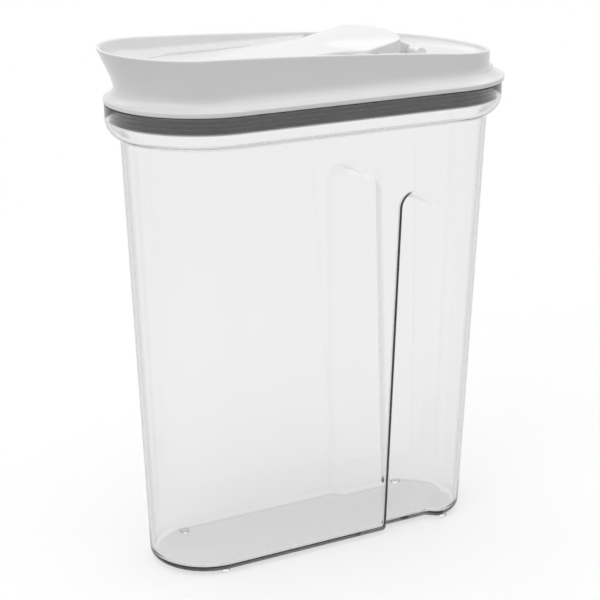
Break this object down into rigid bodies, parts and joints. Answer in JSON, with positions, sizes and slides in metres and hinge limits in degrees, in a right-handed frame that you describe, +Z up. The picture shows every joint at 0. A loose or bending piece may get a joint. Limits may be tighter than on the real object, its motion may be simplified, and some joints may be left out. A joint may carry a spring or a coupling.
{
  "type": "cereal container with flip spout",
  "caption": "Tall clear tapered food container with side hand grips and a push-fit white lid, whose hinged door opens over a flared pouring spout.",
  "frame": {"origin": "bottom centre of the whole, on the bench under the four feet", "axes": "+X along the container from the spout to the hand grip, +Y across it, +Z up"},
  "size_m": [0.257, 0.1078, 0.3118],
  "materials": {
    "clear_plastic": "clear, glossy",
    "white_plastic": "glossy white",
    "liner_plastic": "satin off-white",
    "grey_silicone": "dark grey, soft sheen"
  },
  "bodies": {
    "container": {"container_body": "clear_plastic"},
    "lid": {"lid_shell": "white_plastic", "lid_liner": "liner_plastic", "lid_seal": "grey_silicone"},
    "door": {"flip_door": "white_plastic", "door_liner": "liner_plastic", "door_seal": "grey_silicone"}
  },
  "joints": [
    {"name": "lid_lift", "type": "slide", "parent": "container", "child": "lid", "axis": [0, 0, 1], "range_m": [0, 0.04]},
    {"name": "door_hinge", "type": "hinge", "parent": "lid", "child": "door", "pos_m": [0.06145, 0, 0.299], "axis": [0, 1, 0], "range_deg": [0, 100]}
  ]
}
